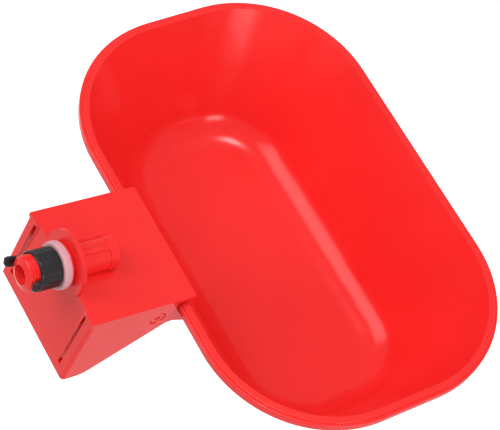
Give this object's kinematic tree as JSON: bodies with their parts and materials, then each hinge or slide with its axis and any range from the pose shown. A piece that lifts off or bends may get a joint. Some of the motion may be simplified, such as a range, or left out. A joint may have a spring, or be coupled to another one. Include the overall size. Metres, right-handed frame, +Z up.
{
  "type": "tilting bowl drinker",
  "caption": "Weight-operated animal drinker: a large rounded bowl tilting on a box-shaped valve housing with a threaded inlet, washer and two-eared lock nut.",
  "frame": {"origin": "on the inlet's axis, in the plane of the wall that the housing's back stands against", "axes": "+X along the bowl's long side, +Y from the wall to the bowl, +Z up; the inlet points along -Y"},
  "size_m": [0.3, 0.2895, 0.1031],
  "materials": {
    "red_plastic": "moulded red polypropylene, soft gloss",
    "pale_silicone": "translucent pale silicone",
    "black_plastic": "moulded black nylon",
    "black_rubber": "matt rubber",
    "white_plastic": "natural acetal",
    "spring_steel": "bright drawn stainless wire"
  },
  "bodies": {
    "housing": {"housing": "red_plastic", "inlet_spigot": "red_plastic", "inlet_o_ring": "black_rubber", "inlet_strainer": "white_plastic", "sealing_washer": "pale_silicone", "barrel_end_cap": "red_plastic", "valve_seat": "white_plastic", "plunger_guide": "white_plastic", "return_spring": "spring_steel", "level_screw": "spring_steel"},
    "bowl": {"bowl": "red_plastic", "pivot_pin_left": "red_plastic", "pivot_pin_right": "red_plastic"},
    "plunger": {"valve_plunger": "white_plastic", "seal_pad": "black_rubber"},
    "lock_nut": {"lock_nut": "black_plastic"},
    "level_nut": {"level_nut": "white_plastic"}
  },
  "joints": [
    {"name": "bowl_tilt", "type": "hinge", "parent": "housing", "child": "bowl", "pos_m": [0, 0.05, -0.02025], "axis": [-1, 0, 0], "range_deg": [0, 8.67], "stiffness_Nm_per_rad": 4, "springref_deg": -5.73, "deforming": ["return_spring"]},
    {"name": "valve_slide", "type": "slide", "parent": "housing", "child": "plunger", "axis": [0, 0, 1], "range_m": [0, 0.0042]},
    {"name": "lock_nut_turn", "type": "hinge", "parent": "housing", "child": "lock_nut", "pos_m": [0, -0.01465, 0], "axis": [0, -1, 0], "continuous": true},
    {"name": "level_nut_turn", "type": "hinge", "parent": "housing", "child": "level_nut", "pos_m": [0, 0.00855, -0.0637], "axis": [0, 0, 1], "continuous": true}
  ],
  "couplings": [
    {"joint": "valve_slide", "follows": "bowl_tilt", "m_per_rad": 0.027267}
  ]
}
